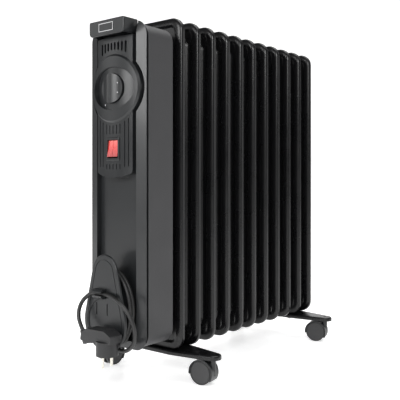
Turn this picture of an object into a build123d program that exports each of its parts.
from build123d import *
import os
from math import cos, pi, radians, sin, sqrt, tan

# Oil filled radiator heater on four casters.
# Millimetres. +Z is up, +X runs across the fins, and -Y is the control end.
# The origin is on the floor, under the middle of the heater.

# ---- driving dimensions ----
fin_count = 11
fin_pitch = 43.8
fin_width = 130.0
fin_height = 580.0
fin_corner = 25.0
fin_bottom = 52.5
sheet = 1.0

heater_length = 584.0
rear_collar_length = 13.5

box_depth = 61.6
box_bottom = 73.0
box_top = 607.0
cover_width = 131.0
cover_bottom = 69.5
cover_top = 611.5

panel_half_width = 41.7
panel_bottom = 353.0
panel_top = 588.0
bulge_radius = 57.0
bulge_z = 501.8

foot_half_length = 130.0
foot_tip_radius = 15.0
foot_thickness = 8.0

wheel_radius = 20.5
caster_trail = 18.0
caster_x = 115.0

cord_diameter = 6.6

# ---- positions worked out from them ----
rear_y = heater_length / 2
front_y = -heater_length / 2
last_fin_y = rear_y - rear_collar_length
fin_ys = [last_fin_y - fin_pitch * (fin_count - 1 - i) for i in range(fin_count)]
fin_top = fin_bottom + fin_height
fin_middle = fin_bottom + fin_height / 2
box_rear_y = fin_ys[0] - fin_pitch / 2
box_front_y = box_rear_y - box_depth
front_gap_y = (fin_ys[0] + fin_ys[1]) / 2
rear_gap_y = (fin_ys[-2] + fin_ys[-1]) / 2

collar_radius = 23.0
collar_bore = 21.5
bottom_collar_z = fin_bottom + 50.0
top_collar_z = fin_top - 50.0

os.makedirs("parts", exist_ok=True)


def facing_front(y):
    """An XZ plane at this Y whose sketches face the control end (-Y)."""
    return Plane.XZ.offset(-y)


def across(x):
    """A YZ plane at this X, for shapes drawn as seen from the side."""
    return Plane.YZ.offset(x)


def save(name, builder):
    """Label a finished piece and write it as its own STEP file."""
    builder.part.label = name
    export_step(builder.part, f"parts/{name}.step")
    return builder.part


# ---- fins ----
# Each fin is two pressed shells welded face to face. The rim is rolled back, an oil
# channel swells from the middle, and two collars join it to the next fin.
rim_crest_inset = 11.5
rim_rise = 3.0
rim_drop = 2.5
rim_return = 7.0
rim_inner = 22.0
channel_thickness = 12.0
channel_inset = 23.0
channel_corner = 20.0
channel_wall = 1.0
weld_slot_width = 16.0
weld_slot_height = 400.0


def rim_side(gap):
    """One side of the rolled rim's section: a flat foot, a crest, an elliptic roll, a lip."""
    crest = -rim_rise + gap
    Line((-rim_inner, -sheet / 2 + gap), (-rim_crest_inset - 6.0, -sheet / 2 + gap))
    Spline(
        (-rim_crest_inset - 6.0, -sheet / 2 + gap),
        (-rim_crest_inset, crest),
        tangents=((1, 0), (1, 0)),
    )
    EllipticalCenterArc(
        (-rim_crest_inset, rim_drop),
        rim_crest_inset - gap,
        rim_drop - crest,
        start_angle=270,
        arc_size=90,
    )
    Line((-gap, rim_drop), (-gap, rim_return))


with BuildLine(facing_front(0)) as fin_outline:
    fin_half_w = fin_width / 2
    fin_half_h = fin_height / 2
    run_w = fin_half_w - fin_corner
    run_h = fin_half_h - fin_corner
    Line((fin_half_w, 0), (fin_half_w, run_h))
    CenterArc((run_w, run_h), fin_corner, 0, 90)
    Line((run_w, fin_half_h), (-run_w, fin_half_h))
    CenterArc((-run_w, run_h), fin_corner, 90, 90)
    Line((-fin_half_w, run_h), (-fin_half_w, -run_h))
    CenterArc((-run_w, -run_h), fin_corner, 180, 90)
    Line((-run_w, -fin_half_h), (run_w, -fin_half_h))
    CenterArc((run_w, -run_h), fin_corner, 270, 90)
    Line((fin_half_w, -run_h), (fin_half_w, 0))

rim_plane = Plane(origin=(fin_half_w, 0, 0), x_dir=(1, 0, 0), z_dir=(0, 0, 1))

with BuildPart() as fin_blank:
    with BuildSketch(rim_plane):
        with BuildLine():
            rim_side(0.0)
            rim_side(sheet)
            Line((-rim_inner, -sheet / 2), (-rim_inner, sheet / 2))
            Line((0, rim_return), (-sheet, rim_return))
        make_face()
    sweep(path=fin_outline.wire())
    with BuildSketch(facing_front(-sheet / 2)):
        web_cut = 2 * (rim_inner - 1.0)
        RectangleRounded(fin_width - web_cut, fin_height - web_cut, fin_corner / 5)
    extrude(amount=-sheet)
    with BuildSketch(facing_front(-channel_thickness / 2)):
        RectangleRounded(
            fin_width - 2 * channel_inset, fin_height - 2 * channel_inset, channel_corner
        )
        SlotOverall(weld_slot_height, weld_slot_width, rotation=90, mode=Mode.SUBTRACT)
    channel = extrude(amount=-channel_thickness)
    chamfer(channel.faces().filter_by(Axis.Y).edges(), length=3.5)
    with BuildSketch(facing_front(0)):
        RectangleRounded(
            fin_width - 2 * channel_inset - 9.0,
            fin_height - 2 * channel_inset - 9.0,
            channel_corner - 4.0,
        )
        SlotOverall(
            weld_slot_height + 9.0, weld_slot_width + 9.0, rotation=90, mode=Mode.SUBTRACT
        )
    extrude(amount=channel_thickness / 2 - channel_wall, both=True, mode=Mode.SUBTRACT)


def make_fin(index):
    """One fin with its collars and bores, at its own place along the row."""
    y = fin_ys[index]
    rear_length = rear_collar_length if index == fin_count - 1 else fin_pitch / 2
    with BuildPart() as fin:
        with Locations((0, y, fin_middle)):
            add(fin_blank.part)
        with BuildSketch(facing_front(y - fin_pitch / 2)):
            with Locations((0, bottom_collar_z), (0, top_collar_z)):
                Circle(collar_radius)
        extrude(amount=-fin_pitch / 2 - rear_length)
        with BuildSketch(facing_front(y - fin_pitch / 2)):
            with Locations((0, bottom_collar_z), (0, top_collar_z)):
                Circle(collar_bore)
        extrude(amount=-fin_pitch / 2 - rear_length, mode=Mode.SUBTRACT)
    return fin


for i in range(fin_count):
    save(f"fin_{i + 1:02d}", make_fin(i))

# ---- caps that close the collar rows ----
cap_thickness = 3.0
with BuildPart() as header_caps:
    with BuildSketch(facing_front(rear_y - cap_thickness)):
        with Locations((0, bottom_collar_z), (0, top_collar_z)):
            Circle(collar_bore)
    extrude(amount=-cap_thickness)
    with BuildSketch(facing_front(box_rear_y)):
        with Locations((0, top_collar_z)):
            Circle(collar_bore)
    extrude(amount=-cap_thickness)
save("header_caps", header_caps)

# ---- heating elements and their flange ----
flange_radius = 25.5
filler_height = 17.0
flange_thickness = 5.0
flange_rear_y = box_rear_y - 1.2
element_radius = 4.0
element_half_span = 11.0
element_offset_z = 7.5
element_length = 400.0
element_terminal = 14.0


def element_place(side):
    """Height of one hairpin: side is +1 for the upper one and -1 for the lower."""
    return bottom_collar_z + side * element_offset_z


with BuildPart() as element_flange:
    with BuildSketch(facing_front(flange_rear_y)):
        with Locations((0, bottom_collar_z)):
            Circle(flange_radius)
            for side in (-1, 1):
                for x in (-element_half_span, element_half_span):
                    with Locations((x, side * element_offset_z)):
                        Circle(element_radius, mode=Mode.SUBTRACT)
            with Locations((0, filler_height)):
                Circle(4.0, mode=Mode.SUBTRACT)
    extrude(amount=flange_thickness)
save("element_flange", element_flange)

with BuildPart() as oil_filler_plug:
    with BuildSketch(facing_front(flange_rear_y)):
        with Locations((0, bottom_collar_z + filler_height)):
            Circle(4.0)
    extrude(amount=flange_thickness)
    with BuildSketch(facing_front(flange_rear_y - flange_thickness)):
        with Locations((0, bottom_collar_z + filler_height)):
            RegularPolygon(5.0, 6)
    extrude(amount=4.0)
save("oil_filler_plug", oil_filler_plug)

for name, side in (("heating_element_low", -1), ("heating_element_high", 1)):
    z = element_place(side)
    with BuildPart() as element:
        with BuildLine() as hairpin:
            start_y = flange_rear_y - flange_thickness - element_terminal
            end_y = flange_rear_y + element_length
            Line((-element_half_span, start_y, z), (-element_half_span, end_y, z))
            ThreePointArc(
                (-element_half_span, end_y, z),
                (0, end_y + element_half_span, z),
                (element_half_span, end_y, z),
            )
            Line((element_half_span, end_y, z), (element_half_span, start_y, z))
        with BuildSketch(Plane(origin=hairpin.line @ 0, z_dir=hairpin.line % 0)):
            Circle(element_radius)
        sweep(path=hairpin.wire())
    save(name, element)

# ---- control box: a sheet steel tray, open at the front ----
box_wall = 1.2
box_width = fin_width
box_height = box_top - box_bottom
box_middle = (box_top + box_bottom) / 2
with BuildPart() as control_box:
    with BuildSketch(facing_front(box_rear_y)):
        with Locations((0, box_middle)):
            RectangleRounded(box_width, box_height, fin_corner)
    extrude(amount=box_depth)
    fillet(control_box.faces().sort_by(Axis.Y)[-1].outer_wire().edges(), radius=4.0)
    offset(
        amount=-box_wall, openings=control_box.faces().sort_by(Axis.Y)[0]
    )
    with BuildSketch(facing_front(box_rear_y + 1.0)):
        with Locations((0, bottom_collar_z), (0, top_collar_z)):
            Circle(collar_bore)
    extrude(amount=box_wall + 2.0, mode=Mode.SUBTRACT)
save("control_box", control_box)

# ---- front cover ----
cover_rim_y = box_front_y - 5.0
cover_front_y = cover_rim_y - 5.6
recess_floor_y = box_front_y - 1.5
cover_back_y = box_front_y
facet_width = 18.0
cover_height = cover_top - cover_bottom
cover_middle = (cover_top + cover_bottom) / 2
recess_gap = 5.3
recess_bottom = cover_bottom + 14.0
skirt_inset = 3.0
skirt_wall = 2.0
skirt_depth = 14.0

shaft_hole_radius = 4.5
switch_z = 401.0
switch_hole_width = 27.0
switch_hole_height = 34.0
hub_middle = 137.0
screw_xs = (-18.0, 18.0)


def recess_outline(extra):
    """Panel-shaped recess, widened round the bulge, extra millimetres larger."""
    height = cover_top + 10.0 - recess_bottom + extra
    middle = recess_bottom - extra + height / 2
    with Locations((0, middle)):
        Rectangle(2 * (panel_half_width + recess_gap + extra), height)
    with Locations((0, bulge_z)):
        Circle(bulge_radius + recess_gap + extra)


with BuildPart() as front_cover:
    with BuildSketch(facing_front(cover_rim_y)):
        with Locations((0, cover_middle)):
            RectangleRounded(cover_width, cover_height, fin_corner)
    slab = extrude(amount=cover_rim_y - cover_front_y)
    front_face = front_cover.faces().sort_by(Axis.Y)[0]
    chamfer(
        front_face.outer_wire().edges(),
        length=facet_width,
        length2=cover_rim_y - cover_front_y - 0.6,
        reference=front_face,
    )
    with BuildSketch(facing_front(cover_rim_y + skirt_depth)):
        with Locations((0, box_middle)):
            RectangleRounded(
                box_width - 2 * skirt_inset, box_height - 2 * skirt_inset, fin_corner - skirt_inset
            )
            RectangleRounded(
                box_width - 2 * (skirt_inset + skirt_wall),
                box_height - 2 * (skirt_inset + skirt_wall),
                fin_corner - skirt_inset - skirt_wall,
                mode=Mode.SUBTRACT,
            )
    extrude(amount=skirt_depth)
    with BuildSketch(facing_front(cover_back_y)):
        with Locations((0, box_middle)):
            RectangleRounded(
                box_width - 2 * skirt_inset, box_height - 2 * skirt_inset, fin_corner - skirt_inset
            )
    extrude(amount=cover_back_y - cover_rim_y)
    with BuildSketch(facing_front(recess_floor_y)):
        recess_outline(0.0)
    extrude(amount=30.0, mode=Mode.SUBTRACT)
    with BuildSketch(facing_front(cover_back_y + 1.0)):
        with Locations((0, bulge_z)):
            Circle(shaft_hole_radius)
        with Locations((0, switch_z)):
            Rectangle(switch_hole_width, switch_hole_height)
        with Locations(*[(x, hub_middle) for x in screw_xs]):
            Circle(2.2)
    extrude(amount=8.0, mode=Mode.SUBTRACT)
save("front_cover", front_cover)

# ---- control panel: a curved bezel with a round bulge and an oval dish ----
panel_back_y = recess_floor_y
panel_apex_y = box_front_y - 17.5
panel_curve = 219.0
bulge_rise = 3.5
bulge_bevel = 3.0
panel_wall = 2.5
dish_half_width = 49.0
dish_half_height = 35.5
dish_centre_y = box_front_y - 19.0
dish_edge_y = box_front_y - 5.5
dish_draft = 3.0
knob_well_radius = 25.3
knob_well_y = box_front_y - 14.5
dish_rear_y = box_front_y - 9.0
vent_count = 8
vent_spacing = 8.0
vent_width = 4.4
vent_top = 579.0
vent_arc = 64.3
groove_width = 1.8
groove_depth = 1.2
panel_end_sag = 8.0
groove_gap = 4.0
long_groove_xs = (-34.0, -26.0, 26.0, 34.0)
long_groove_bottom = 371.0
short_groove_count = 5


def panel_front_at(x):
    """Y of the panel's curved front at this X."""
    return panel_apex_y + panel_curve - sqrt(panel_curve**2 - x**2)


def groove_under_bulge(x):
    """Height where a groove at this X stops, just short of the round bulge."""
    return bulge_z - sqrt((bulge_radius + groove_gap) ** 2 - x**2)


def groove(x, low, high):
    """The cutter for a shallow upright groove in the panel's front."""
    with BuildPart() as cutter:
        with BuildSketch(facing_front(panel_front_at(x) + groove_depth)):
            with Locations((x, (low + high) / 2)):
                SlotOverall(high - low, groove_width, rotation=90)
        extrude(amount=5.0)
    return cutter.part


grooves = [groove(x, long_groove_bottom, groove_under_bulge(x)) for x in long_groove_xs]
for i in range(short_groove_count):
    x = (i - (short_groove_count - 1) / 2) * vent_spacing
    grooves.append(groove(x, switch_z + 25.0, groove_under_bulge(x)))
    grooves.append(groove(x, switch_z - 34.0, switch_z - 25.0))



def panel_outline(inset):
    """Straight-sided bezel with a gently bowed lower end, inset all round."""
    half = panel_half_width - inset
    low = panel_bottom + inset
    with BuildSketch() as outline:
        with BuildLine():
            Line((half, panel_top - inset), (-half, panel_top - inset))
            Line((-half, panel_top - inset), (-half, low + panel_end_sag))
            ThreePointArc((-half, low + panel_end_sag), (0, low), (half, low + panel_end_sag))
            Line((half, low + panel_end_sag), (half, panel_top - inset))
        make_face()
        fillet(outline.vertices().group_by(Axis.Y)[0], radius=6.0)
    return outline.sketch


def curved_slab(apex_y):
    """Plan of everything behind the panel's curved front."""
    chord = bulge_radius + 10.0
    edge_y = panel_front_at(chord) + apex_y - panel_apex_y
    with BuildSketch() as plan:
        with BuildLine():
            ThreePointArc((-chord, edge_y), (0, apex_y), (chord, edge_y))
            Line((chord, edge_y), (chord, panel_back_y))
            Line((chord, panel_back_y), (-chord, panel_back_y))
            Line((-chord, panel_back_y), (-chord, edge_y))
        make_face()
    return plan.sketch


def bowed_body(inset):
    """The bezel and its bulge, inset from the outer skin."""
    with BuildPart() as bezel:
        with BuildSketch(facing_front(panel_back_y)):
            add(panel_outline(inset))
            with Locations((0, bulge_z)):
                Circle(bulge_radius - inset)
        extrude(amount=30.0)
        with BuildSketch(Plane.XY.offset(panel_bottom - 1.0)):
            add(curved_slab(panel_apex_y + inset))
        extrude(amount=panel_top - panel_bottom + 2.0, mode=Mode.INTERSECT)
    with BuildPart() as bulge:
        with BuildSketch(facing_front(panel_back_y)):
            with Locations((0, bulge_z)):
                Circle(bulge_radius - inset)
        extrude(amount=30.0)
        with BuildSketch(Plane.XY.offset(panel_bottom)):
            add(curved_slab(panel_apex_y - bulge_rise + inset))
        extrude(amount=panel_top - panel_bottom, mode=Mode.INTERSECT)
        chamfer(bulge.faces().sort_by(Axis.Y)[0].edges(), length=bulge_bevel)
    return bezel.part + bulge.part


panel_outer = bowed_body(0.0)
panel_inner = bowed_body(panel_wall)

# The dish has a bowed floor, highest under the knob and deep at its two ends.
with BuildPart() as dish:
    with BuildSketch(facing_front(dish_edge_y)):
        with Locations((0, bulge_z)):
            Ellipse(dish_half_width - dish_draft, dish_half_height - dish_draft)
    with BuildSketch(facing_front(dish_edge_y - 20.0)):
        with Locations((0, bulge_z)):
            Ellipse(dish_half_width + dish_draft / 3, dish_half_height + dish_draft / 3)
    loft()
    with BuildSketch(Plane.XY.offset(bulge_z - dish_half_height)):
        with BuildLine():
            ThreePointArc(
                (-dish_half_width, dish_edge_y),
                (0, dish_centre_y),
                (dish_half_width, dish_edge_y),
            )
            Line((dish_half_width, dish_edge_y), (-dish_half_width, dish_edge_y))
        make_face()
    extrude(amount=2 * dish_half_height, mode=Mode.SUBTRACT)
    with BuildSketch(facing_front(knob_well_y)):
        with Locations((0, bulge_z)):
            Circle(knob_well_radius)
    extrude(amount=12.0)

with BuildPart() as control_panel:
    add(panel_outer)
    add(dish.part, mode=Mode.SUBTRACT)
    with BuildSketch(facing_front(panel_back_y)):
        with Locations((0, bulge_z)):
            Ellipse(dish_half_width - 13.0, dish_half_height - 6.0)
    extrude(amount=panel_back_y - dish_rear_y, mode=Mode.SUBTRACT)
    with BuildPart(mode=Mode.PRIVATE) as panel_hollow:
        add(panel_inner)
        with BuildSketch(facing_front(panel_back_y)):
            with Locations((0, bulge_z)):
                Ellipse(dish_half_width + 1.0, dish_half_height + 1.0)
        extrude(amount=30.0, mode=Mode.SUBTRACT)
    add(panel_hollow.part, mode=Mode.SUBTRACT)
    for i in range(vent_count):
        x = (i - (vent_count - 1) / 2) * vent_spacing
        slot_bottom = bulge_z + sqrt(vent_arc**2 - x**2)
        with BuildSketch(facing_front(panel_back_y - 5.0)):
            with Locations((x, (vent_top + slot_bottom) / 2)):
                SlotOverall(vent_top - slot_bottom, vent_width, rotation=90)
        extrude(amount=20.0, mode=Mode.SUBTRACT)
    with BuildSketch(facing_front(panel_back_y + 1.0)):
        with Locations((0, bulge_z)):
            Circle(shaft_hole_radius)
        with Locations((0, switch_z)):
            Rectangle(switch_hole_width, switch_hole_height)
    extrude(amount=30.0, mode=Mode.SUBTRACT)
    for cutter in grooves:
        add(cutter, mode=Mode.SUBTRACT)
save("control_panel", control_panel)

# ---- handle: a hood over the top of the panel, open underneath ----
handle_half_width = 41.5
handle_front_y = box_front_y - 33.5
handle_bottom = 589.0
handle_top = 614.5
handle_wall = 4.0
handle_back_y = recess_floor_y
badge_width = 34.0
badge_height = 14.0
with BuildPart() as handle:
    with BuildSketch(facing_front(handle_back_y)):
        with Locations((0, (handle_bottom + handle_top) / 2)):
            Rectangle(2 * handle_half_width, handle_top - handle_bottom)
    extrude(amount=handle_back_y - handle_front_y)
    lower_edges = handle.edges().filter_by(Axis.Y).group_by(Axis.Z)[0]
    fillet(lower_edges, radius=7.0)
    upper_edges = handle.edges().filter_by(Axis.Y).group_by(Axis.Z)[-1]
    fillet(upper_edges, radius=3.0)
    fillet(handle.faces().sort_by(Axis.Y)[0].outer_wire().edges(), radius=2.0)
    with BuildSketch(facing_front(handle_back_y - handle_wall)):
        with Locations((0, (handle_bottom + handle_top) / 2 - handle_wall)):
            Rectangle(
                2 * (handle_half_width - handle_wall), handle_top - handle_bottom
            )
    extrude(amount=handle_back_y - handle_front_y - 2 * handle_wall, mode=Mode.SUBTRACT)
    with BuildSketch(facing_front(handle_front_y + 0.5)):
        with Locations((0, (handle_bottom + handle_top) / 2)):
            RectangleRounded(badge_width, badge_height, 1.5)
            RectangleRounded(badge_width - 2.4, badge_height - 2.4, 0.8, mode=Mode.SUBTRACT)
    extrude(amount=1.0)
save("handle", handle)

# ---- thermostat, its shaft and the knob ----
knob_radius = 24.5
knob_back_y = knob_well_y - 0.6
knob_rim_y = box_front_y - 20.5
knob_front_y = box_front_y - 27.0
knob_ridge_half_width = 1.5
knob_scoop = 1.8
shaft_radius = 3.0
running_clearance = 0.05
bushing_radius = 4.4
bushing_length = 4.0
thermostat_front_y = cover_back_y + 2.0
shaft_rear_y = thermostat_front_y + 11.6
shaft_front_y = knob_front_y + 8.0
thermostat_width = 34.0
thermostat_height = 30.0
thermostat_depth = 22.0
with BuildPart() as thermostat_body:
    with BuildSketch(facing_front(thermostat_front_y)):
        with Locations((0, bulge_z)):
            Rectangle(thermostat_width, thermostat_height)
    extrude(amount=-thermostat_depth)
    with BuildSketch(facing_front(thermostat_front_y)):
        with Locations((0, bulge_z)):
            Circle(bushing_radius)
    extrude(amount=bushing_length)
    with BuildSketch(facing_front(shaft_rear_y + 0.4)):
        with Locations((0, bulge_z)):
            Circle(shaft_radius + running_clearance)
    extrude(amount=30.0, mode=Mode.SUBTRACT)
save("thermostat_body", thermostat_body)

with BuildPart() as thermostat_shaft:
    with BuildSketch(facing_front(shaft_rear_y)):
        with Locations((0, bulge_z)):
            Circle(shaft_radius)
    extrude(amount=shaft_rear_y - shaft_front_y)
save("thermostat_shaft", thermostat_shaft)

with BuildPart() as knob:
    with BuildSketch(Plane.XY.offset(bulge_z - knob_radius)):
        with BuildLine():
            Line((-knob_radius, knob_back_y), (knob_radius, knob_back_y))
            for side in (-1, 1):
                rim = (side * knob_radius, knob_rim_y)
                ridge = (side * knob_ridge_half_width, knob_front_y)
                scoop = ((rim[0] + ridge[0]) / 2, (rim[1] + ridge[1]) / 2 + knob_scoop)
                Line((side * knob_radius, knob_back_y), rim)
                ThreePointArc(rim, scoop, ridge)
            Line(
                (-knob_ridge_half_width, knob_front_y), (knob_ridge_half_width, knob_front_y)
            )
        make_face()
    extrude(amount=2 * knob_radius)
    with BuildSketch(facing_front(knob_back_y)):
        with Locations((0, bulge_z)):
            Circle(knob_radius)
    extrude(amount=30.0, mode=Mode.INTERSECT)
    with BuildSketch(facing_front(knob_back_y)):
        with Locations((0, bulge_z)):
            Circle(shaft_radius)
    extrude(amount=knob_back_y - shaft_front_y, mode=Mode.SUBTRACT)
save("knob", knob)

# ---- double rocker switch ----
switch_frame_width = 31.0
switch_frame_height = 38.5
switch_frame_front = panel_apex_y - 1.5
switch_wall = 2.0
rocker_width = 11.6
rocker_height = 29.0
rocker_gap = 0.7
pivot_y = switch_frame_front + 5.0
pivot_radius = 1.0
rocker_reach = 5.5
housing_back_y = cover_back_y + 12.0
with BuildPart() as switch_housing:
    with BuildSketch(facing_front(panel_apex_y)):
        with Locations((0, switch_z)):
            RectangleRounded(switch_frame_width, switch_frame_height, 2.0)
    extrude(amount=panel_apex_y - switch_frame_front)
    chamfer(switch_housing.faces().sort_by(Axis.Y)[0].edges(), length=0.8)
    with BuildSketch(facing_front(housing_back_y)):
        with Locations((0, switch_z)):
            Rectangle(switch_hole_width - 0.4, switch_hole_height - 0.4)
    extrude(amount=housing_back_y - panel_apex_y)
    with BuildSketch(facing_front(housing_back_y - switch_wall)):
        with Locations((0, switch_z)):
            Rectangle(2 * (rocker_width + rocker_gap), rocker_height + 1.6)
    extrude(amount=60.0, mode=Mode.SUBTRACT)
    with BuildSketch(across(-switch_hole_width / 2)):
        with Locations((pivot_y, switch_z)):
            Circle(pivot_radius)
    extrude(amount=switch_hole_width, mode=Mode.SUBTRACT)
save("switch_housing", switch_housing)

with BuildPart() as rocker_pivot_pin:
    with BuildSketch(across(-switch_hole_width / 2 + 0.4)):
        with Locations((pivot_y, switch_z)):
            Circle(pivot_radius)
    extrude(amount=switch_hole_width - 0.8)
save("rocker_pivot_pin", rocker_pivot_pin)

for name, side in (("rocker_left", -1), ("rocker_right", 1)):
    rocker_x = side * (rocker_width + rocker_gap) / 2
    with BuildPart() as rocker:
        with BuildSketch(across(rocker_x - rocker_width / 2)):
            with BuildLine():
                half = rocker_height / 2
                low_y = pivot_y - rocker_reach + 4.0
                high_y = pivot_y - rocker_reach - 0.5
                mid_y = pivot_y - rocker_reach + 2.0
                Line((low_y, switch_z + half), (mid_y, switch_z))
                Line((mid_y, switch_z), (high_y, switch_z - half + 1.5))
                Line((high_y, switch_z - half + 1.5), (pivot_y + 1.5, switch_z - half + 3.5))
                Line((pivot_y + 1.5, switch_z - half + 3.5), (pivot_y + 4.0, switch_z))
                Line((pivot_y + 4.0, switch_z), (low_y, switch_z + half))
            make_face()
        extrude(amount=rocker_width)
        with BuildSketch(across(rocker_x - rocker_width)):
            with Locations((pivot_y, switch_z)):
                Circle(pivot_radius + running_clearance)
        extrude(amount=2 * rocker_width, mode=Mode.SUBTRACT)
    save(name, rocker)

# ---- inside the box ----
with BuildPart() as thermal_cutout:
    with BuildSketch(facing_front(box_rear_y - box_wall)):
        with Locations((0, bottom_collar_z + 60.0)):
            Circle(8.0)
    extrude(amount=9.0)
save("thermal_cutout", thermal_cutout)

with BuildPart() as terminal_block:
    with BuildSketch(facing_front(box_rear_y - box_wall)):
        with Locations((0, 250.0)):
            Rectangle(48.0, 22.0)
    extrude(amount=16.0)
    with BuildSketch(facing_front(box_rear_y - box_wall - 16.0)):
        with Locations((0, 250.0)):
            with GridLocations(15.0, 12.0, 3, 2):
                Circle(2.5)
    extrude(amount=-8.0, mode=Mode.SUBTRACT)
save("terminal_block", terminal_block)

wire_radius = 1.6


def wire_between(start, end, bow_y):
    """A straight-run wire with one bend, drawn through a point at bow_y."""
    middle = ((start[0] + end[0]) / 2, bow_y, (start[2] + end[2]) / 2)
    with BuildPart() as wire:
        with BuildLine() as route:
            FilletPolyline(start, middle, end, radius=20.0)
        with BuildSketch(Plane(origin=route.line @ 0, z_dir=route.line % 0)):
            Circle(wire_radius)
        sweep(path=route.wire())
    return wire.part


wire_y = box_rear_y - 20.0
with BuildPart() as inside_wiring:
    add(wire_between((-15, wire_y, 261.5), (-8, housing_back_y + 2.2, switch_z - 12), wire_y - 4))
    add(wire_between((0, wire_y, 261.5), (8, housing_back_y + 2.2, switch_z - 12), wire_y - 4))
    add(wire_between((-10, wire_y, 238.0), (-8, wire_y, bottom_collar_z + 70.0), wire_y - 8))
    add(wire_between((10, wire_y, 238.0), (8, wire_y, bottom_collar_z + 70.0), wire_y - 8))
save("inside_wiring", inside_wiring)

# ---- cord winder: a hub and an egg-shaped plate with a cord clip ----
plate_rear_y = recess_floor_y - 32.5
plate_front_y = plate_rear_y - 3.5
plate_low_radius = 49.5
plate_low_z = 116.0
plate_high_radius = 30.0
plate_high_z = 196.5
hub_half_width = 33.0
hub_half_height = 45.0
clip_x = -7.0
clip_z = 162.0
clip_width = 22.0
clip_outer = 8.0
clip_inner = 4.2
clip_mouth = 5.0
clip_y = front_y + sqrt(clip_outer**2 - (clip_mouth / 2)**2)
plate_pocket_radius = 38.0
plate_pocket_depth = 1.5


def egg(inset):
    """Outline of the winder plate, inset from its edge."""
    with BuildSketch() as outline:
        with Locations((0, plate_low_z)):
            Circle(plate_low_radius - inset)
        with Locations((0, plate_high_z)):
            Circle(plate_high_radius - inset)
        make_hull()
    return outline.sketch


with BuildPart() as winder_hub:
    with BuildSketch(facing_front(recess_floor_y)):
        with Locations((0, hub_middle)):
            Ellipse(hub_half_width, hub_half_height)
            Ellipse(hub_half_width - 3.0, hub_half_height - 3.0, mode=Mode.SUBTRACT)
    extrude(amount=recess_floor_y - plate_rear_y)
    with BuildSketch(facing_front(recess_floor_y)):
        with Locations((0, hub_middle)):
            Ellipse(hub_half_width - 2.0, hub_half_height - 2.0)
        with Locations(*[(x, hub_middle) for x in screw_xs]):
            Circle(2.2, mode=Mode.SUBTRACT)
    extrude(amount=3.0)
save("winder_hub", winder_hub)

with BuildPart() as winder_plate:
    with BuildSketch(facing_front(plate_rear_y)):
        add(egg(0.0))
    extrude(amount=plate_rear_y - plate_front_y)
    fillet(winder_plate.faces().sort_by(Axis.Y)[0].edges(), radius=2.5)
    with BuildSketch(facing_front(plate_front_y + 0.9)):
        add(egg(8.0))
        add(egg(9.2), mode=Mode.SUBTRACT)
    extrude(amount=2.0, mode=Mode.SUBTRACT)
    with BuildSketch(facing_front(plate_front_y + plate_pocket_depth)):
        with Locations((0, plate_low_z)):
            Circle(plate_pocket_radius)
    extrude(amount=5.0, taper=-30, mode=Mode.SUBTRACT)
    with BuildSketch(across(clip_x - clip_width / 2)):
        with Locations((clip_y, clip_z)):
            Circle(clip_outer)
    extrude(amount=clip_width)
    with BuildSketch(facing_front(plate_rear_y)):
        with Locations((clip_x, clip_z)):
            Rectangle(clip_width, 2 * clip_outer)
    extrude(amount=plate_rear_y - clip_y)
    with BuildSketch(across(clip_x - clip_width)):
        with Locations((clip_y, clip_z)):
            Circle(clip_inner)
        with Locations((clip_y - clip_outer, clip_z)):
            Rectangle(2 * clip_outer, clip_mouth)
    extrude(amount=2 * clip_width, mode=Mode.SUBTRACT)
    with BuildSketch(facing_front(plate_rear_y + 1.0)):
        for x in (clip_x - clip_width / 2 - 1.6, clip_x + clip_width / 2 + 1.6):
            with Locations((x, clip_z - 26.0)):
                SlotOverall(20.0, 2.2, rotation=90)
    extrude(amount=30.0, mode=Mode.SUBTRACT)
save("winder_plate", winder_plate)

with BuildPart() as cover_screws:
    for x in screw_xs:
        with BuildSketch(facing_front(cover_back_y + 6.0)):
            with Locations((x, hub_middle)):
                Circle(2.0)
        extrude(amount=cover_back_y + 6.0 - recess_floor_y + 3.0)
        with BuildSketch(facing_front(recess_floor_y - 3.0)):
            with Locations((x, hub_middle)):
                Circle(3.8)
        extrude(amount=2.2)
save("cover_screws", cover_screws)

# ---- mains cord: gland, coil, tail and angled plug ----
cord_radius = cord_diameter / 2
coil_back_y = cover_front_y - 0.6
coil_front_y = plate_rear_y + 1.0
coil_half_width = 50.0
coil_half_height = 67.0
coil_build = 14.0
gland_x = -26.0
gland_z = 89.0
gland_length = 16.0
gland_height = 9.0

with BuildPart() as cord_gland:
    with BuildSketch(facing_front(recess_floor_y)):
        with Locations((gland_x, gland_z)):
            RectangleRounded(gland_length, gland_height, 1.5)
    extrude(amount=recess_floor_y - coil_back_y)
save("cord_gland", cord_gland)

# The tail leaves the coil's front turn at the bottom, comes round the plate's edge, goes
# up and through the clip, and drops to the plug. Points are chosen by hand.
tail_start = (8.0, coil_front_y + 4.5, hub_middle - coil_half_height + cord_radius + 0.5)
tail_points = [
    tail_start,
    (40.0, -270.0, 70.5),
    (69.0, -277.0, 90.0),
    (74.0, -286.0, 126.0),
    (50.0, -290.0, 154.0),
    (16.0, clip_y, clip_z),
    (-27.0, clip_y, clip_z),
    (-46.0, -290.5, 145.5),
    (-48.0, -296.0, 121.5),
    (-30.0, -300.5, 101.5),
]


def run_lengths(points):
    return [(Vector(*b) - Vector(*a)).length for a, b in zip(points, points[1:])]


def corner_radii(points):
    """Largest arc at each corner: 0.45 of the shorter run over the tangent of half the turn."""
    runs = run_lengths(points)
    radii = []
    for i in range(1, len(points) - 1):
        before = Vector(*points[i]) - Vector(*points[i - 1])
        after = Vector(*points[i + 1]) - Vector(*points[i])
        turn = before.get_angle(after)
        radii.append(0.45 * min(runs[i - 1], runs[i]) / tan(radians(turn) / 2))
    return radii


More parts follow.
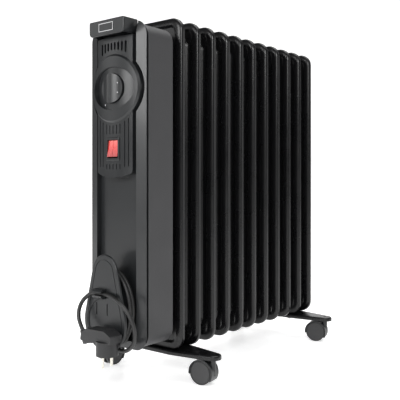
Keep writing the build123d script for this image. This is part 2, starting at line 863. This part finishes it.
tail_radii = corner_radii(tail_points)
print("cord tail radii", [round(r, 1) for r in tail_radii])
with BuildPart() as cord_tail:
    with BuildLine() as tail_route:
        FilletPolyline(*tail_points, radius=tail_radii)
    with BuildSketch(Plane(origin=tail_route.line @ 0, z_dir=tail_route.line % 0)):
        Circle(cord_radius)
    sweep(path=tail_route.wire())
tail_length = tail_route.wire().length
tube_volume = pi * cord_radius**2 * tail_length
print("cord tail length", round(tail_length, 1))
print("tail volume over section times length", round(cord_tail.part.volume / tube_volume, 4))
save("cord_tail", cord_tail)

# The coil is one closed ring of its outer shape, cut away where the tail leaves it.
with BuildPart() as cord_coil:
    with BuildSketch(facing_front(coil_back_y)):
        with Locations((0, hub_middle)):
            Ellipse(coil_half_width, coil_half_height)
            Ellipse(coil_half_width - coil_build, coil_half_height - coil_build, mode=Mode.SUBTRACT)
    extrude(amount=coil_back_y - coil_front_y)
    fillet(cord_coil.edges().filter_by(GeomType.ELLIPSE), radius=3.0)
    add(cord_tail.part, mode=Mode.SUBTRACT)
save("cord_coil", cord_coil)

plug_x = 29.0
plug_y = -300.5
plug_boss_radius = 18.0
plug_boss_bottom = 70.0
plug_boss_top = 93.0
plug_body_width = 25.0
plug_pin_radius = 2.4
plug_pin_length = 19.0
plug_pin_spacing = 19.0
plug_root_radius = 1.8
plug_root_length = 8.0
relief_direction = (Vector(*tail_points[-1]) - Vector(*tail_points[-2])).normalized()
relief_start = Vector(*tail_points[-1])
relief_length = 22.0

with BuildPart() as plug_body:
    with BuildSketch(Plane.XY.offset(plug_boss_bottom)):
        with Locations((plug_x, plug_y)):
            Circle(plug_boss_radius)
    extrude(amount=plug_boss_top - plug_boss_bottom)
    with BuildSketch(facing_front(plug_y + plug_body_width / 2)):
        with BuildLine():
            Polyline(
                (-22.0, 90.0),
                (-20.0, 101.0),
                (-8.0, 109.5),
                (34.0, 110.5),
                (49.0, 103.0),
                (49.0, 91.0),
                (16.0, 90.0),
                (-6.0, 86.0),
                close=True,
            )
        make_face()
    extrude(amount=plug_body_width)
    with BuildSketch(Plane(origin=relief_start, z_dir=relief_direction)):
        Circle(cord_radius + 1.2)
    with BuildSketch(
        Plane(origin=relief_start + relief_direction * relief_length, z_dir=relief_direction)
    ):
        Circle(cord_radius + 3.8)
    loft()
    with BuildSketch(Plane.XY.offset(plug_boss_bottom)):
        with Locations((plug_x, plug_y)):
            with Locations((0, -plug_pin_spacing / 2), (0, plug_pin_spacing / 2)):
                Circle(plug_root_radius)
    extrude(amount=plug_root_length, mode=Mode.SUBTRACT)
save("plug_body", plug_body)

with BuildPart() as plug_pins:
    for side in (-1, 1):
        with BuildSketch(Plane.XY.offset(plug_boss_bottom)):
            with Locations((plug_x, plug_y + side * plug_pin_spacing / 2)):
                Circle(plug_pin_radius)
        extrude(amount=-plug_pin_length)
    fillet(plug_pins.faces().group_by(Axis.Z)[0].edges(), radius=1.0)
    for side in (-1, 1):
        with BuildSketch(Plane.XY.offset(plug_boss_bottom)):
            with Locations((plug_x, plug_y + side * plug_pin_spacing / 2)):
                Circle(plug_root_radius)
        extrude(amount=plug_root_length)
save("plug_pins", plug_pins)

# ---- foot bars, U-bolts and wing nuts ----
foot_middle_radius = 28.0
foot_shoulder_x = 38.0
foot_skin = 2.2
foot_bottom = fin_bottom - foot_thickness
boss_radius = 9.0
stem_radius = 3.5
stem_top = fin_bottom - foot_skin - 0.2
ubolt_rod = 2.5
ubolt_reach = collar_radius + ubolt_rod
ubolt_bottom = foot_bottom - 8.0


def foot_plan(inset):
    """Plan of a foot bar: wide in the middle, with rounded ends."""
    with BuildSketch() as plan:
        for side in (-1, 1):
            with Locations((side * foot_shoulder_x, 0)):
                Circle(foot_middle_radius - inset)
            with Locations((side * (foot_half_length - foot_tip_radius), 0)):
                Circle(foot_tip_radius - inset)
        make_hull()
    return plan.sketch


def make_foot(y):
    with BuildPart() as foot:
        with BuildSketch(Plane.XY.offset(foot_bottom)):
            with Locations((0, y)):
                add(foot_plan(0.0))
        extrude(amount=foot_thickness)
        fillet(foot.faces().sort_by(Axis.Z)[-1].edges(), radius=3.5)
        with BuildSketch(Plane.XY.offset(foot_bottom)):
            with Locations((0, y)):
                add(foot_plan(foot_skin))
            for side in (-1, 1):
                with Locations((side * caster_x, y)):
                    Circle(boss_radius, mode=Mode.SUBTRACT)
                with Locations((side * ubolt_reach, y)):
                    Circle(boss_radius, mode=Mode.SUBTRACT)
        extrude(amount=foot_thickness - foot_skin, mode=Mode.SUBTRACT)
        with BuildSketch(Plane.XY.offset(foot_bottom)):
            for side in (-1, 1):
                with Locations((side * caster_x, y)):
                    Circle(stem_radius + running_clearance)
        extrude(amount=stem_top + 0.3 - foot_bottom, mode=Mode.SUBTRACT)
        with BuildSketch(Plane.XY.offset(foot_bottom)):
            for side in (-1, 1):
                with Locations((side * ubolt_reach, y)):
                    Circle(ubolt_rod)
        extrude(amount=foot_thickness, mode=Mode.SUBTRACT)
        with BuildSketch(Plane.XY.offset(fin_bottom)):
            for side in (-1, 1):
                with Locations((side * caster_x, y)):
                    Circle(3.0)
        extrude(amount=-0.8, mode=Mode.SUBTRACT)
    return foot


save("front_foot_bar", make_foot(front_gap_y))
save("rear_foot_bar", make_foot(rear_gap_y))

with BuildPart() as u_bolts:
    for y in (front_gap_y, rear_gap_y):
        with BuildLine() as u_path:
            Line((-ubolt_reach, y, ubolt_bottom), (-ubolt_reach, y, bottom_collar_z))
            ThreePointArc(
                (-ubolt_reach, y, bottom_collar_z),
                (0, y, bottom_collar_z + ubolt_reach),
                (ubolt_reach, y, bottom_collar_z),
            )
            Line((ubolt_reach, y, bottom_collar_z), (ubolt_reach, y, ubolt_bottom))
        with BuildSketch(Plane(origin=u_path.line @ 0, z_dir=u_path.line % 0)):
            Circle(ubolt_rod)
        sweep(path=u_path.wire())
save("u_bolts", u_bolts)

nut_height = 5.0
wing_reach = 9.0
with BuildPart() as wing_nuts:
    for y in (front_gap_y, rear_gap_y):
        for x in (-ubolt_reach, ubolt_reach):
            with BuildSketch(Plane.XY.offset(foot_bottom)):
                with Locations((x, y)):
                    Circle(5.5)
                    Rectangle(2 * wing_reach, 2.4)
                    Circle(ubolt_rod, mode=Mode.SUBTRACT)
            extrude(amount=-nut_height)
save("wing_nuts", wing_nuts)

# ---- casters: hooded twin wheels that swivel on a stem ----
hood_inner = wheel_radius + 0.7
hood_outer = hood_inner + 1.6
hood_half_width = 12.4
web_half_thickness = 5.4
wheel_inner_face = 6.0
wheel_outer_face = 12.0
axle_radius = 2.0
axle_half_length = 11.0
stem_boss_radius = 5.4
hood_gap = 0.4
hood_start = -35.0
hood_sweep = 225.0

# Each caster's heading is the direction from its stem to its axle, seen from above.
caster_places = {
    "front_right": (caster_x, front_gap_y, 190.0),
    "rear_right": (caster_x, rear_gap_y, 196.5),
    "front_left": (-caster_x, front_gap_y, 268.0),
    "rear_left": (-caster_x, rear_gap_y, 290.0),
}


def caster_plane(x, y, heading):
    """Side view of a caster: x towards the stem, y up, z along the axle."""
    along = Vector(cos(radians(heading)), sin(radians(heading)), 0)
    centre = Vector(x, y, wheel_radius) + along * caster_trail
    return Plane(origin=centre, x_dir=along * -1, z_dir=(along * -1).cross(Vector(0, 0, 1)))


def make_hood(x, y, heading):
    side_view = caster_plane(x, y, heading)
    with BuildPart() as hood:
        with BuildSketch(side_view):
            with BuildLine():
                outer = CenterArc((0, 0), hood_outer, hood_start, hood_sweep)
                inner = CenterArc((0, 0), hood_inner, hood_start, hood_sweep)
                Line(outer @ 0, inner @ 0)
                Line(outer @ 1, inner @ 1)
            make_face()
        extrude(amount=hood_half_width, both=True)
        with BuildSketch(side_view):
            with BuildLine():
                rim = CenterArc((0, 0), hood_inner + 0.5, hood_start, hood_sweep)
                Line(rim @ 0, (0, -7))
                Line((0, -7), rim @ 1)
            make_face()
        extrude(amount=web_half_thickness, both=True)
        with BuildSketch(Plane.XY.offset(foot_bottom - hood_gap)):
            with Locations((x, y)):
                Circle(stem_boss_radius)
        extrude(amount=-(foot_bottom - hood_gap - wheel_radius + 4.0))
        with BuildSketch(Plane.XY.offset(foot_bottom - hood_gap)):
            with Locations((x, y)):
                Circle(stem_radius)
        extrude(amount=-18.0, mode=Mode.SUBTRACT)
        with BuildSketch(side_view):
            Circle(axle_radius)
        extrude(amount=hood_half_width, both=True, mode=Mode.SUBTRACT)
    return hood


def make_caster_pins(x, y, heading):
    """The swivel stem and the axle, both steel and both held by the hood."""
    side_view = caster_plane(x, y, heading)
    with BuildPart() as pins:
        with BuildSketch(Plane.XY.offset(stem_top)):
            with Locations((x, y)):
                Circle(stem_radius)
        extrude(amount=-(stem_top - foot_bottom + hood_gap + 18.0))
        with BuildSketch(side_view):
            Circle(axle_radius)
        extrude(amount=axle_half_length, both=True)
    return pins


def make_wheel(x, y, heading, side):
    """One of the twin wheels: side is +1 or -1 along the axle."""
    side_view = caster_plane(x, y, heading)
    with BuildPart() as wheel:
        with BuildSketch(side_view.offset(side * wheel_inner_face)):
            Circle(wheel_radius)
        extrude(amount=side * (wheel_outer_face - wheel_inner_face))
        rims = wheel.edges().filter_by(GeomType.CIRCLE)
        fillet(rims, radius=1.0)
        with BuildSketch(side_view.offset(side * wheel_outer_face)):
            Circle(wheel_radius - 1.4)
            Circle(wheel_radius - 2.6, mode=Mode.SUBTRACT)
        extrude(amount=-side * 1.2, mode=Mode.SUBTRACT)
        with BuildSketch(side_view.offset(side * wheel_inner_face)):
            Circle(axle_radius + running_clearance)
        extrude(amount=side * (axle_half_length + 0.4 - wheel_inner_face), mode=Mode.SUBTRACT)
    return wheel


for place, (x, y, heading) in caster_places.items():
    save(f"caster_hood_{place}", make_hood(x, y, heading))
    save(f"caster_pins_{place}", make_caster_pins(x, y, heading))
    save(f"caster_wheel_{place}_a", make_wheel(x, y, heading, 1))
    save(f"caster_wheel_{place}_b", make_wheel(x, y, heading, -1))
